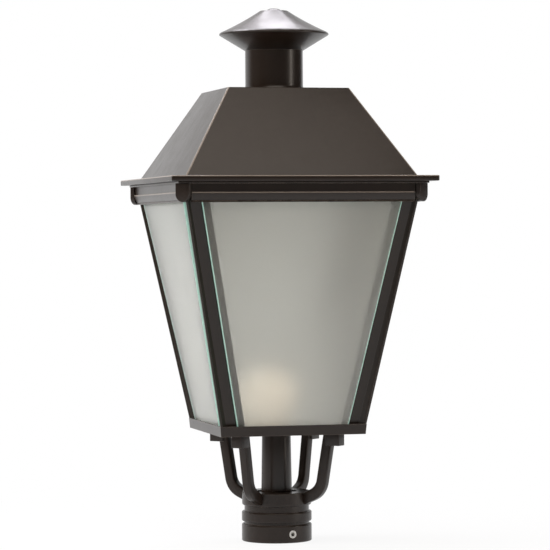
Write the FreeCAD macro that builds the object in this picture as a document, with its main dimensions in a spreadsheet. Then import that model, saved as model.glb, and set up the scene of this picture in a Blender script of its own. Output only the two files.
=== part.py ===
"""Post top lantern: a square tapering glazed lantern on four curved arms over a post collar.

Millimetres. The origin is the centre of the collar's open bottom edge, +Z runs up the post,
and -Y is the front of the lantern.
"""
import FreeCAD, Part
import math
import os
import re
import Sketcher

doc = FreeCAD.newDocument("post_top_lantern")

# ---------------------------------------------------------------- driving dimensions
SIZES = {
    # post collar, turned and bored casting
    "collar_radius": 53.7,
    "post_bore_radius": 38.6,
    "post_bore_depth": 55.0,
    "collar_edge": 1.0,
    "skirt_height": 26.5,
    "groove_radius": 50.0,
    "groove_height": 3.8,
    "band_height": 15.4,
    "band_round": 2.2,
    "waist_height": 9.0,
    "waist_radius": 49.6,
    "drum_radius": 53.2,
    "drum_round": 3.0,
    "drum_top": 75.5,
    "drum_recess_radius": 31.0,
    "drum_recess_depth": 2.0,
    "wire_hole_radius": 17.0,
    # clamping screws in the skirt
    "clamp_screw_radius": 6.0,
    "clamp_screw_height": 13.3,
    "clamp_screw_inset": 0.4,
    "clamp_screw_length": 14.0,
    "clamp_hole_clearance": 0.05,
    "clamp_socket_width": 6.0,
    "clamp_socket_depth": 6.5,
    "clamp_tip": 1.4,
    "clamp_first_angle": -76.4,
    # central wire tube
    "tube_foot_radius": 23.6,
    "tube_head_radius": 22.0,
    "tube_wall": 3.5,
    "tube_show": 92.6,
    # four curved arms
    "arm_width": 13.0,
    "arm_depth": 17.0,
    "arm_head_radius": 95.3,
    "arm_lean": 9.9,
    "arm_root_low": 56.4,
    "arm_root_high": 75.0,
    "arm_bend_out_height": 72.0,
    "arm_bend_in_height": 86.0,
    "arm_bend_out": 36.0,
    "arm_bend_in": 20.0,
    "arm_round": 2.0,
    "lug_reach": 116.0,
    "lug_length": 24.0,
    "lug_width": 18.0,
    "lug_height": 19.2,
    "lug_screw_radius": 107.0,
    "lug_screw_size": 3.0,
    "lug_screw_depth": 12.0,
    "lug_screw_head_radius": 6.0,
    "lug_screw_head_height": 3.6,
    # floor and bottom frame
    "floor_thick": 3.0,
    "rail_height": 15.4,
    "rail_low_half": 111.8,
    "rail_high_half": 113.2,
    "rail_open_half": 96.0,
    "slot_inner": 102.4,
    "slot_outer": 110.0,
    "slot_depth": 6.5,
    "slot_end": 1.0,
    "seat_thick": 1.5,
    # glazing
    "glass_height": 334.5,
    "glass_low_half": 109.6,
    "glass_high_half": 175.8,
    "glass_thick": 5.1,
    "glass_corner_gap": 23.5,
    "glass_overlap": 12.0,
    # corner bars
    "bead_low_half": 112.9,
    "bead_high_half": 176.4,
    "bead_width": 3.2,
    "bead_round": 1.0,
    "bead_web": 2.0,
    "leg_width": 31.0,
    "leg_thick": 3.0,
    "lip_depth": 15.0,
    # cornice
    "cornice_height": 27.6,
    "cornice_half": 185.2,
    "cornice_ledge": 1.8,
    "cornice_ledge_drop": 12.4,
    "cornice_lip_half": 181.5,
    "cornice_lip": 2.2,
    "cornice_lip_inner": 177.6,
    "cornice_round": 16.0,
    "cornice_wall": 3.6,
    "cornice_rail_half": 169.8,
    "block_face": 260.5,
    "block_depth": 8.0,
    "block_width": 24.0,
    "block_gap": 0.3,
    "block_round": 1.0,
    "top_ring_thick": 3.0,
    "top_ring_half": 190.6,
    "top_ring_open_half": 148.0,
    # roof
    "flange_half": 202.9,
    "flange_thick": 8.4,
    "flange_round": 1.2,
    "flange_open_half": 168.0,
    "roof_low_half": 176.8,
    "roof_high_half": 93.9,
    "roof_height": 134.2,
    "roof_wall": 2.2,
    "roof_fold": 1.5,
    "chimney_hole_radius": 36.2,
    # chimney and cap
    "neck_radius": 44.3,
    "neck_wall": 2.5,
    "neck_height": 60.8,
    "neck_foot": 2.4,
    "neck_flare": 9.0,
    "neck_edge": 0.6,
    "cap_radius": 84.0,
    "cap_under_height": 23.0,
    "cap_rim": 4.0,
    "cap_rise": 34.0,
    "cap_crown_radius": 21.2,
    "cap_sweep": 420.0,
    "cap_wall": 2.5,
    "button_radius": 13.0,
    "button_height": 4.2,
    # roof fixing
    "strap_half": 158.0,
    "strap_width": 26.0,
    "strap_thick": 4.0,
    "rod_radius": 4.0,
    "rod_tail": 9.0,
    "nut_width": 13.0,
    "nut_height": 6.5,
    # lamp
    "holder_radius": 22.0,
    "holder_height": 44.0,
    "holder_cup_radius": 14.2,
    "holder_cup_depth": 27.0,
    "holder_foot_radius": 28.0,
    "holder_foot": 5.0,
    "holder_bore": 5.0,
    "lamp_shell_radius": 13.2,
    "lamp_shell_height": 25.0,
    "lamp_contact_radius": 7.3,
    "lamp_contact_height": 5.0,
    "lamp_radius": 33.0,
    "lamp_height": 81.0,
    "lamp_wall": 1.2,
    # wiring
    "terminal_length": 46.0,
    "terminal_width": 18.0,
    "terminal_height": 14.0,
    "terminal_place": 58.0,
    # glass clips
    "clip_width": 16.0,
    "clip_thick": 1.2,
    "clip_place": 62.0,
}

sheet = doc.addObject("Spreadsheet::Sheet", "Sizes")
for row, (alias, value) in enumerate(SIZES.items(), start=1):
    sheet.set(f"A{row}", alias)
    sheet.set(f"B{row}", str(value))
    sheet.setAlias(f"B{row}", alias)
doc.recompute()

# ---------------------------------------------------------------- levels up the lantern
GROOVE_TOP = "(skirt_height + groove_height)"
BAND_TOP = f"({GROOVE_TOP} + band_height)"
WAIST_TOP = f"({BAND_TOP} + waist_height)"
RECESS = "(drum_top - drum_recess_depth)"
FLOOR_LOW = "(drum_top + tube_show)"
FLOOR_TOP = f"({FLOOR_LOW} + floor_thick)"
GLASS_LOW = f"({FLOOR_LOW} + rail_height)"
GLASS_HIGH = f"({GLASS_LOW} + glass_height)"
RING_LOW = f"({GLASS_HIGH} + cornice_height)"
RING_TOP = f"({RING_LOW} + top_ring_thick)"
FLANGE_TOP = f"({RING_TOP} + flange_thick)"
ROOF_TOP = f"({FLANGE_TOP} + roof_height)"
NECK_TOP = f"({ROOF_TOP} + neck_height)"
RIM_LOW = f"({NECK_TOP} + cap_under_height)"
RIM_HIGH = f"({RIM_LOW} + cap_rim)"
CROWN = f"({RIM_HIGH} + cap_rise)"
PANE_FOOT = f"({GLASS_LOW} - slot_depth + seat_thick)"
PANE_HEAD = f"({GLASS_HIGH} + glass_overlap)"
HOLDER_TOP = f"({FLOOR_TOP} + holder_height)"


def tapered(low, high, level):
    """Half width at a level, on the straight line through the bottom and top of the glazing."""
    return f"({low} + ({high} - {low}) * ({level} - {GLASS_LOW}) / glass_height)"


def glass_face(level):
    """Half width of the glass's outer face."""
    return tapered("glass_low_half", "glass_high_half", level)


def bead_face(level):
    """Half width of the corner bead."""
    return tapered("bead_low_half", "bead_high_half", level)


# ---------------------------------------------------------------- modelling helpers
def bound(text):
    """The expression with each size read from the sheet."""
    return re.sub(r"[a-z][a-z_]+(?![a-z_(])", lambda word: "Sizes." + word.group(0), text)


def measure(text):
    """The present value of an expression of sizes."""
    result = sheet.evalExpression(bound(text))
    return float(getattr(result, "Value", result))


def make_body(label):
    """An empty body under its own label."""
    body = doc.addObject("PartDesign::Body", label)
    body.Label = label
    return body


def origin_plane(body, role):
    """One of the body's own origin planes, by its role."""
    return next(plane for plane in body.Origin.OriginFeatures if plane.Role == role)


def make_sketch(body, name, role, level=None):
    """A sketch on an origin plane, lifted off it by an expression when one is given."""
    sketch = body.newObject("Sketcher::SketchObject", name)
    sketch.AttachmentSupport = [(origin_plane(body, role), "")]
    sketch.MapMode = "FlatFace"
    if level is not None:
        sketch.AttachmentOffset = FreeCAD.Placement(FreeCAD.Vector(0, 0, measure(level)), FreeCAD.Rotation())
        sketch.setExpression("AttachmentOffset.Base.z", bound(level))
    return sketch


def bind(sketch, kind, index, end, text):
    """Hold one coordinate of a point to an expression of sizes."""
    number = sketch.addConstraint(Sketcher.Constraint(kind, -1, 1, index, end, measure(text)))
    sketch.setExpression(f"Constraints[{number}]", bound(text))


def arc_between(start, finish, radius, turn):
    """The short arc from start to finish; turn is 1 where it bulges left of the chord, else -1."""
    chord = finish - start
    middle = (start + finish) * 0.5
    side = FreeCAD.Vector(-chord.y, chord.x, 0).normalize() * turn
    sagitta = radius - math.sqrt(radius * radius - (chord.Length / 2) ** 2)
    return Part.Arc(start, middle + side * sagitta, finish)


def outline(sketch, path):
    """Draw a closed outline; a step (x, y, radius, turn) leaves its point along an arc."""
    points = [FreeCAD.Vector(measure(step[0]), measure(step[1]), 0) for step in path]
    starts = []
    for index, step in enumerate(path):
        start = points[index]
        finish = points[(index + 1) % len(path)]
        if len(step) == 2:
            edge = sketch.addGeometry(Part.LineSegment(start, finish))
            starts.append((edge, 1, 2))
            continue
        curve = arc_between(start, finish, measure(step[2]), step[3])
        edge = sketch.addGeometry(curve)
        # a sketch keeps its arcs counter-clockwise, so the end nearer to the start point is found
        begins = (sketch.getPoint(edge, 1) - start).Length < (sketch.getPoint(edge, 2) - start).Length
        starts.append((edge, 1, 2) if begins else (edge, 2, 1))
    for index, step in enumerate(path):
        edge, begin, end = starts[index]
        following, following_begin, _ = starts[(index + 1) % len(path)]
        sketch.addConstraint(Sketcher.Constraint("Coincident", edge, end, following, following_begin))
        bind(sketch, "DistanceX", edge, begin, step[0])
        bind(sketch, "DistanceY", edge, begin, step[1])
        if len(step) == 4:
            number = sketch.addConstraint(Sketcher.Constraint("Radius", edge, measure(step[2])))
            sketch.setExpression(f"Constraints[{number}]", bound(step[2]))


def rectangle(sketch, left, right, low, high):
    """A rectangle from four expressions."""
    outline(sketch, [(left, low), (right, low), (right, high), (left, high)])


def square(sketch, half):
    """A square centred on the axis."""
    rectangle(sketch, f"-({half})", half, f"-({half})", half)


def folded_square(sketch, half, fold):
    """A square centred on the axis, with its corners cut off by a narrow fold."""
    inset = f"({half} - {fold})"
    quarter = [(half, inset), (inset, half)]
    opposite = [(f"-{inset}", half), (f"-({half})", inset)]
    outline(sketch, quarter + opposite + [(f"-({x})", f"-({y})") for x, y in quarter + opposite])


def circle(sketch, across, up, radius):
    """A circle by its centre and radius."""
    centre = FreeCAD.Vector(measure(across), measure(up), 0)
    ring = sketch.addGeometry(Part.Circle(centre, FreeCAD.Vector(0, 0, 1), measure(radius)))
    bind(sketch, "DistanceX", ring, 3, across)
    bind(sketch, "DistanceY", ring, 3, up)
    number = sketch.addConstraint(Sketcher.Constraint("Radius", ring, measure(radius)))
    sketch.setExpression(f"Constraints[{number}]", bound(radius))


def hexagon(sketch, width, up="0"):
    """A hexagon of a width across its flats, above the sketch's origin."""
    corner = f"({width}) / sqrt(3)"
    outline(sketch, [(f"{corner} * cos({60 * k})", f"{up} + {corner} * sin({60 * k})") for k in range(6)])


def pad(body, sketch, length, both_ways=False, down=False):
    """Extrude a sketch by an expression."""
    feature = body.newObject("PartDesign::Pad", body.Name + "_pad")
    feature.Profile = sketch
    feature.Length = measure(length)
    feature.setExpression("Length", bound(length))
    feature.Midplane = both_ways
    feature.Reversed = down
    doc.recompute()
    return feature


def pocket(body, sketch, length=None, down=True, both_ways=False):
    """Cut a sketch into the body, by an expression or right through."""
    feature = body.newObject("PartDesign::Pocket", body.Name + "_pocket")
    feature.Profile = sketch
    if length is None:
        feature.Type = "ThroughAll"
    else:
        feature.Length = measure(length)
        feature.setExpression("Length", bound(length))
    feature.Midplane = both_ways
    feature.Reversed = not down
    doc.recompute()
    return feature


def revolve(body, sketch, axis="V_Axis"):
    """Turn a sketch round one of its own axes."""
    feature = body.newObject("PartDesign::Revolution", body.Name + "_turn")
    feature.Profile = sketch
    feature.ReferenceAxis = (sketch, [axis])
    feature.Angle = 360
    doc.recompute()
    return feature


def loft(body, low, high, cut=False):
    """A straight loft from one sketch to another."""
    kind = "PartDesign::SubtractiveLoft" if cut else "PartDesign::AdditiveLoft"
    feature = body.newObject(kind, body.Name + "_loft")
    feature.Profile = low
    feature.Sections = [high]
    feature.Ruled = True
    doc.recompute()
    return feature


def repeat_round(body, feature, count):
    """Repeat a cut or pad evenly round the Z axis."""
    pattern = body.newObject("PartDesign::PolarPattern", body.Name + "_round")
    pattern.Originals = [feature]
    pattern.Axis = (origin_axis(body), [""])
    pattern.Angle = 360
    pattern.Occurrences = count
    body.Tip = pattern
    doc.recompute()
    return pattern


def origin_axis(body):
    """The body's own Z axis."""
    return next(axis for axis in body.Origin.OriginFeatures if axis.Role == "Z_Axis")


def round_edges(body, wanted, radius):
    """Fillet the edges of the body's tip that the test picks."""
    base = body.Tip
    names = [f"Edge{number}" for number, edge in enumerate(base.Shape.Edges, start=1) if wanted(edge)]
    feature = body.newObject("PartDesign::Fillet", body.Name + "_round")
    feature.Base = (base, names)
    feature.Radius = measure(radius)
    feature.setExpression("Radius", bound(radius))
    doc.recompute()
    return feature


def ends(edge):
    """The two end points of an edge."""
    return [vertex.Point for vertex in edge.Vertexes]


def turned(body, angle):
    """Hold a body's turn round the Z axis to an angle or an expression."""
    body.setExpression("Placement.Rotation.Angle", bound(str(angle)))
    doc.recompute()
    return body


def group(label, members):
    """Several equal pieces under one label."""
    compound = doc.addObject("Part::Compound", label)
    compound.Label = label
    compound.Links = members
    doc.recompute()
    return compound


SIDES = {"rear": 0, "left": 90, "front": 180, "right": 270}
CORNERS = {"rear_right": 0, "rear_left": 90, "front_left": 180, "front_right": 270}
DIAGONAL = 45


# ---------------------------------------------------------------- support on the post
def make_collar():
    """Collar that drops over the post: skirt, groove, rounded band, waist and drum."""
    body = make_body("post_collar")
    profile = make_sketch(body, "collar_profile", "XZ_Plane")
    outline(profile, [
        ("post_bore_radius", "0"),
        ("collar_radius - collar_edge", "0"),
        ("collar_radius", "collar_edge"),
        ("collar_radius", "skirt_height - band_round", "band_round", -1),
        ("collar_radius - band_round", "skirt_height"),
        ("groove_radius", "skirt_height"),
        ("groove_radius", GROOVE_TOP),
        ("collar_radius - band_round", GROOVE_TOP, "band_round", -1),
        ("collar_radius", f"{GROOVE_TOP} + band_round"),
        ("collar_radius", f"{BAND_TOP} - band_round", "band_round", -1),
        ("collar_radius - band_round", BAND_TOP),
        ("waist_radius", BAND_TOP),
        ("waist_radius", WAIST_TOP),
        ("drum_radius - drum_round", WAIST_TOP, "drum_round", -1),
        ("drum_radius", f"{WAIST_TOP} + drum_round"),
        ("drum_radius", "drum_top - collar_edge"),
        ("drum_radius - collar_edge", "drum_top"),
        ("drum_recess_radius", "drum_top"),
        ("drum_recess_radius", RECESS),
        ("wire_hole_radius", RECESS),
        ("wire_hole_radius", "post_bore_depth"),
        ("post_bore_radius", "post_bore_depth"),
    ])
    revolve(body, profile)
    hole = make_sketch(body, "clamp_hole", "YZ_Plane")
    circle(hole, "0", "clamp_screw_height", "clamp_screw_radius + clamp_hole_clearance")
    cut = pocket(body, hole, "collar_radius + collar_edge", down=False)
    repeat_round(body, cut, 3)
    return turned(body, "clamp_first_angle")


def make_clamp_screw(label, turn):
    """Socket set screw that clamps the post, flush in the skirt."""
    body = make_body(label)
    outer = "(collar_radius - clamp_screw_inset)"
    inner = f"({outer} - clamp_screw_length)"
    profile = make_sketch(body, "screw_profile", "XY_Plane", "clamp_screw_height")
    outline(profile, [
        (inner, "0"),
        (outer, "0"),
        (outer, "clamp_screw_radius"),
        (f"{inner} + clamp_tip", "clamp_screw_radius"),
        (inner, "clamp_screw_radius - clamp_tip"),
    ])
    revolve(body, profile, "H_Axis")
    socket = make_sketch(body, "screw_socket", "YZ_Plane", outer)
    hexagon(socket, "clamp_socket_width", "clamp_screw_height")
    pocket(body, socket, "clamp_socket_depth")
    return turned(body, f"clamp_first_angle + {turn}")


def make_wire_tube():
    """Tapered tube that carries the supply wires from the collar to the floor."""
    body = make_body("wire_tube")
    profile = make_sketch(body, "tube_profile", "XZ_Plane")
    outline(profile, [
        ("tube_foot_radius - tube_wall", RECESS),
        ("tube_foot_radius", RECESS),
        ("tube_head_radius", FLOOR_LOW),
        ("tube_head_radius - tube_wall", FLOOR_LOW),
    ])
    revolve(body, profile)
    return body


def make_arm(label, angle):
    """Cast arm, root on the drum, bent up and out to a lug under the floor."""
    body = make_body(label)
    lean = "tan(arm_lean)"
    lug_low = f"({FLOOR_LOW} - lug_height)"
    outer_bend = f"(arm_head_radius + arm_depth / 2 - {lean} * ({FLOOR_LOW} - arm_bend_out_height))"
    inner_bend = f"(arm_head_radius - arm_depth / 2 - {lean} * ({FLOOR_LOW} - arm_bend_in_height))"
    side = make_sketch(body, "arm_side", "XZ_Plane")
    outline(side, [
        ("drum_radius - drum_round", "arm_root_low"),
        (outer_bend, "arm_bend_out_height"),
        (f"arm_head_radius + arm_depth / 2 - {lean} * lug_height", lug_low),
        ("lug_reach", lug_low),
        ("lug_reach", FLOOR_LOW),
        ("arm_head_radius - arm_depth / 2", FLOOR_LOW),
        (inner_bend, "arm_bend_in_height"),
        ("drum_radius - drum_round", "arm_root_high"),
    ])
    pad(body, side, "arm_width", both_ways=True)
    for across, up, radius in ((outer_bend, "arm_bend_out_height", "arm_bend_out"),
                               (inner_bend, "arm_bend_in_height", "arm_bend_in")):
        x, z = measure(across), measure(up)
        round_edges(body, lambda edge: all(math.hypot(p.x - x, p.z - z) < 0.01 for p in ends(edge)), radius)
    long_side = measure("arm_width") / 2
    round_edges(body, lambda edge: all(abs(abs(p.y) - long_side) < 0.01 for p in ends(edge))
                and edge.BoundBox.YLength < 0.01 and edge.BoundBox.ZMax < measure(lug_low) + 0.01
                and edge.BoundBox.ZLength > 3, "arm_round")
    lug = make_sketch(body, "lug_plan", "XY_Plane", lug_low)
    rectangle(lug, "lug_reach - lug_length", "lug_reach", "-lug_width / 2", "lug_width / 2")
    pad(body, lug, "lug_height")
    seat = make_sketch(body, "drum_seat", "XY_Plane")
    circle(seat, "0", "0", "drum_radius")
    pocket(body, seat, down=False)
    hole = make_sketch(body, "lug_hole", "XY_Plane", FLOOR_LOW)
    circle(hole, "lug_screw_radius", "0", "lug_screw_size")
    pocket(body, hole, "lug_screw_depth")
    return turned(body, angle + DIAGONAL)


def make_arm_screw(number, angle):
    """Pan head screw through the floor into an arm's lug."""
    body = make_body(f"arm_screw_{number}")
    profile = make_sketch(body, "shank", "XY_Plane", f"{FLOOR_LOW} - lug_screw_depth")
    circle(profile, "lug_screw_radius", "0", "lug_screw_size")
    pad(body, profile, "lug_screw_depth + floor_thick")
    head = make_sketch(body, "head", "XY_Plane", FLOOR_TOP)
    circle(head, "lug_screw_radius", "0", "lug_screw_head_radius")
    pad(body, head, "lug_screw_head_height")
    return turned(body, angle + DIAGONAL)


# ---------------------------------------------------------------- lantern body
def make_floor():
    """Floor plate inside the bottom frame, with the wire hole and four screw holes."""
    body = make_body("floor_plate")
    plan = make_sketch(body, "floor_plan", "XY_Plane", FLOOR_LOW)
    square(plan, "rail_open_half")
    pad(body, plan, "floor_thick")
    hole = make_sketch(body, "floor_hole", "XY_Plane")
    circle(hole, "0", "0", "holder_bore")
    pocket(body, hole, down=False)
    screw = make_sketch(body, "floor_screw_hole", "XY_Plane")
    circle(screw, "lug_screw_radius * cos(45)", "lug_screw_radius * sin(45)", "lug_screw_size")
    cut = pocket(body, screw, down=False)
    repeat_round(body, cut, 4)
    return body


def make_bottom_frame():
    """Bottom frame: four rails in one, slotted for the panes."""
    body = make_body("bottom_frame")
    low = make_sketch(body, "frame_low", "XY_Plane", FLOOR_LOW)
    square(low, "rail_low_half")
    high = make_sketch(body, "frame_high", "XY_Plane", GLASS_LOW)
    square(high, "rail_high_half")
    loft(body, low, high)
    opening = make_sketch(body, "frame_opening", "XY_Plane")
    square(opening, "rail_open_half")
    pocket(body, opening, down=False)
    slot = make_sketch(body, "pane_slot", "XY_Plane", GLASS_LOW)
    half = "glass_low_half - glass_corner_gap + slot_end"
    rectangle(slot, f"-({half})", half, "slot_inner", "slot_outer")
    cut = pocket(body, slot, "slot_depth")
    repeat_round(body, cut, 4)
    return body


def make_seat_strip(side, angle):
    """Rubber strip in a slot, under a pane."""
    body = make_body(f"seat_strip_{side}")
    plan = make_sketch(body, "strip_plan", "XY_Plane", f"{GLASS_LOW} - slot_depth")
    half = "glass_low_half - glass_corner_gap + slot_end"
    rectangle(plan, f"-({half})", half, "slot_inner", "slot_outer")
    pad(body, plan, "seat_thick")
    return turned(body, angle)


def bar_section(sketch, level):
    """Section of a corner bar: corner bead on a diagonal web, two legs and their inward lips."""
    bead = bead_face(level)
    leg = f"({glass_face(level)} - glass_thick)"
    edge = f"({bead} - bead_width)"
    inner = f"({leg} - leg_thick)"
    lip_far = f"({leg} - leg_width)"
    lip_near = f"({lip_far} + leg_thick)"
    lip_end = f"({leg} - lip_depth)"
    half = [
        (f"{bead} - bead_round", bead),
        (edge, bead),
        (edge, f"{edge} + bead_web"),
        (f"{leg} - bead_web", leg),
        (lip_far, leg),
        (lip_far, lip_end),
        (lip_near, lip_end),
        (lip_near, inner),
    ]
    mirrored = [(across, up) for up, across in reversed(half)]
    outline(sketch, half + [(inner, inner)] + mirrored)


def make_corner_bar(label, angle):
    """Leaning corner bar; both panes lie on the outside of its legs, level with its bead."""
    body = make_body(label)
    low = make_sketch(body, "bar_low", "XY_Plane", GLASS_LOW)
    bar_section(low, GLASS_LOW)
    high = make_sketch(body, "bar_high", "XY_Plane", RING_LOW)
    bar_section(high, RING_LOW)
    loft(body, low, high)
    return turned(body, angle)


def make_pane(label, angle):
    """Frosted pane, wider at the top, leaning out with the bars."""
    body = make_body(label)
    sections = []
    for name, level in (("pane_low", PANE_FOOT), ("pane_high", PANE_HEAD)):
        face = glass_face(level)
        section = make_sketch(body, name, "XY_Plane", level)
        half = f"({face} - glass_corner_gap)"
        rectangle(section, f"-{half}", half, f"{face} - glass_thick", face)
        sections.append(section)
    loft(body, *sections)
    return turned(body, angle)


def make_clip(side, number, angle, place):
    """Spring clip that holds a pane's top edge out against the cornice."""
    body = make_body(f"clip_{side}_{number}")
    sections = []
    for name, level in (("clip_low", f"({RING_LOW} - cornice_height + clip_thick)"), ("clip_high", RING_LOW)):
        inner = f"({glass_face(level)} - glass_thick)"
        section = make_sketch(body, name, "XY_Plane", level)
        rectangle(section, f"{place} - clip_width / 2", f"{place} + clip_width / 2",
                  f"{inner} - clip_thick", inner)
        sections.append(section)
    loft(body, *sections)
    return turned(body, angle)


def make_cornice_rail(label, angle):
    """Moulded cornice rail: flat band, ledge, quarter round and bottom lip."""
    body = make_body(label)
    profile = make_sketch(body, "rail_profile", "YZ_Plane")
    ledge = f"({RING_LOW} - cornice_ledge_drop)"
    lip_top = f"({GLASS_HIGH} + cornice_lip)"
    outline(profile, [
        ("cornice_half - cornice_wall", RING_LOW),
        ("cornice_half - cornice_wall", f"{ledge} - cornice_ledge"),
        ("cornice_lip_inner", lip_top),
        ("cornice_lip_inner", GLASS_HIGH),
        ("cornice_lip_half + cornice_ledge / 2", GLASS_HIGH),
        ("cornice_lip_half + cornice_ledge / 2", lip_top),
        ("cornice_lip_half", lip_top, "cornice_round", -1),
        ("cornice_half + cornice_ledge", f"{ledge} - cornice_ledge"),
        ("cornice_half + cornice_ledge", ledge),
        ("cornice_half", ledge),
        ("cornice_half", RING_LOW),
    ])
    pad(body, profile, "cornice_rail_half * 2", both_ways=True)
    return turned(body, angle)


def make_corner_block(label, angle):
    """Round-bottomed block set across a corner of the cornice, notched for the bar."""
    body = make_body(label)
    face = make_sketch(body, "block_face_outline", "YZ_Plane", "block_face - block_depth")
    half = "block_width / 2"
    outline(face, [
        (f"-{half}", RING_LOW),
        (f"-{half}", f"{GLASS_HIGH} + {half}", half, -1),
        ("0", GLASS_HIGH, half, -1),
        (half, f"{GLASS_HIGH} + {half}"),
        (half, RING_LOW),
    ])
    pad(body, face, "block_depth")
    front = measure("block_face")
    round_edges(body, lambda edge: edge.BoundBox.XMin > front - 0.01
                and edge.BoundBox.ZMin < measure(RING_LOW) - 0.01, "block_round")
    sections = []
    for name, level in (("notch_low", GLASS_HIGH), ("notch_high", RING_LOW)):
        reach = f"(({bead_face(level)} + block_gap) * sqrt(2))"
        section = make_sketch(body, name, "XY_Plane", level)
        outline(section, [("0", f"-{reach}"), (reach, "0"), ("0", reach)])
        sections.append(section)
    loft(body, *sections, cut=True)
    return turned(body, angle + DIAGONAL)


def make_top_ring():
    """Flat ring that ties bars, cornice and corner blocks together."""
    body = make_body("top_ring")
    plan = make_sketch(body, "ring_plan", "XY_Plane", RING_LOW)
    square(plan, "top_ring_half")
    square(plan, "top_ring_open_half")
    pad(body, plan, "top_ring_thick")
    return body


# ---------------------------------------------------------------- roof
def make_roof_flange():
    """Overhanging square flange of the roof."""
    body = make_body("roof_flange")
    plan = make_sketch(body, "flange_plan", "XY_Plane", RING_TOP)
    square(plan, "flange_half")
    square(plan, "flange_open_half")
    pad(body, plan, "flange_thick")
    outside = measure("flange_half")
    round_edges(body, lambda edge: max(abs(p.x) for p in ends(edge)) > outside - 0.01
                and max(abs(p.y) for p in ends(edge)) > outside - 0.01
                and edge.BoundBox.DiagonalLength > 1, "flange_round")
    return body


def make_roof_shell():
    """Hollow four-sided roof with a flat top and a hole for the chimney."""
    body = make_body("roof_shell")
    low = make_sketch(body, "roof_low", "XY_Plane", FLANGE_TOP)
    folded_square(low, "roof_low_half", "roof_fold")
    high = make_sketch(body, "roof_high", "XY_Plane", ROOF_TOP)
    folded_square(high, "roof_high_half", "roof_fold")
    loft(body, low, high)
    hollow_low = make_sketch(body, "hollow_low", "XY_Plane", FLANGE_TOP)
    square(hollow_low, "roof_low_half - roof_wall * 1.2")
    hollow_high = make_sketch(body, "hollow_high", "XY_Plane", f"{ROOF_TOP} - roof_wall")
    square(hollow_high, "roof_high_half - roof_wall * 0.6")
    loft(body, hollow_low, hollow_high, cut=True)
    hole = make_sketch(body, "chimney_hole", "XY_Plane")
    circle(hole, "0", "0", "chimney_hole_radius")
    pocket(body, hole, down=False)
    return body


def make_neck():
    """Chimney neck with a flared foot."""
    body = make_body("chimney_neck")
    profile = make_sketch(body, "neck_profile", "XZ_Plane")
    flare = "(neck_foot * neck_foot + neck_flare * neck_flare) / (2 * neck_foot)"
    outline(profile, [
        ("neck_radius - neck_wall", ROOF_TOP),
        ("neck_radius + neck_foot", ROOF_TOP),
        ("neck_radius + neck_foot", f"{ROOF_TOP} + neck_edge", flare, 1),
        ("neck_radius", f"{ROOF_TOP} + neck_edge + neck_flare"),
        ("neck_radius", NECK_TOP),
        ("neck_radius - neck_wall", NECK_TOP),
    ])
    revolve(body, profile)
    return body


def make_cap():
    """Vent cap: inverted cone below the rim, hollow-swept cone above it."""
    body = make_body("vent_cap")
    profile = make_sketch(body, "cap_profile", "XZ_Plane")
    outline(profile, [
        ("neck_radius - neck_wall", NECK_TOP),
        ("neck_radius + cap_wall / 5", NECK_TOP),
        ("cap_radius - cap_rim / 4", f"{RIM_LOW} - cap_rim / 8"),
        ("cap_radius", f"{RIM_LOW} + cap_rim / 3"),
        ("cap_radius", f"{RIM_HIGH} - cap_rim / 3"),
        ("cap_radius - cap_rim / 2", f"{RIM_HIGH} + cap_rim / 5", "cap_sweep", 1),
        ("cap_crown_radius", CROWN),
        ("rod_radius", CROWN),
        ("rod_radius", f"{CROWN} - cap_wall"),
        ("cap_crown_radius - cap_wall / 2", f"{CROWN} - cap_wall", "cap_sweep", -1),
        ("cap_radius - cap_rim * 2", RIM_HIGH),
        ("cap_radius - cap_rim * 2", RIM_LOW),
    ])
    revolve(body, profile)
    return body


def make_cap_nut():
    """Low domed nut that holds the cap and the roof down."""
    body = make_body("cap_nut")
    profile = make_sketch(body, "nut_profile", "XZ_Plane")
    sphere = "(button_radius * button_radius + button_height * button_height) / (2 * button_height)"
    outline(profile, [
        ("0", f"{CROWN} + button_height / 2"),
        ("rod_radius", f"{CROWN} + button_height / 2"),
        ("rod_radius", CROWN),
        ("button_radius", CROWN, sphere, -1),
        ("0", f"{CROWN} + button_height"),
    ])
    revolve(body, profile)
    return body


def make_strap():
    """Strap across the top ring, that anchors the rod."""
    body = make_body("roof_strap")
    plan = make_sketch(body, "strap_plan", "XY_Plane", RING_TOP)
    rectangle(plan, "-strap_half", "strap_half", "-strap_width / 2", "strap_width / 2")
    circle(plan, "0", "0", "rod_radius")
    pad(body, plan, "strap_thick")
    return body


def make_rod():
    """Long rod from the strap through the chimney to the cap nut."""
    body = make_body("roof_rod")
    foot = f"({RING_TOP} - rod_tail)"
    end = make_sketch(body, "rod_end", "XY_Plane", foot)
    circle(end, "0", "0", "rod_radius")
    pad(body, end, f"{CROWN} + button_height / 2 - {foot}")
    return body


def make_rod_nut(number, level):
    """Hexagon nut on the rod, against the strap."""
    body = make_body(f"rod_nut_{number}")
    plan = make_sketch(body, "nut_plan", "XY_Plane", level)
    hexagon(plan, "nut_width")
    circle(plan, "0", "0", "rod_radius")
    pad(body, plan, "nut_height")
    return body


# ---------------------------------------------------------------- lamp and wiring
def make_lamp_holder():
    """Ceramic lamp holder on the floor."""
    body = make_body("lamp_holder")
    cup = f"({HOLDER_TOP} - holder_cup_depth)"
    profile = make_sketch(body, "holder_profile", "XZ_Plane")
    outline(profile, [
        ("holder_bore", FLOOR_TOP),
        ("holder_foot_radius", FLOOR_TOP),
        ("holder_foot_radius", f"{FLOOR_TOP} + holder_foot"),
        ("holder_radius", f"{FLOOR_TOP} + holder_foot * 2"),
        ("holder_radius", HOLDER_TOP),
        ("holder_cup_radius", HOLDER_TOP),
        ("holder_cup_radius", cup),
        ("holder_bore", cup),
    ])
    revolve(body, profile)
    return body


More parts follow.
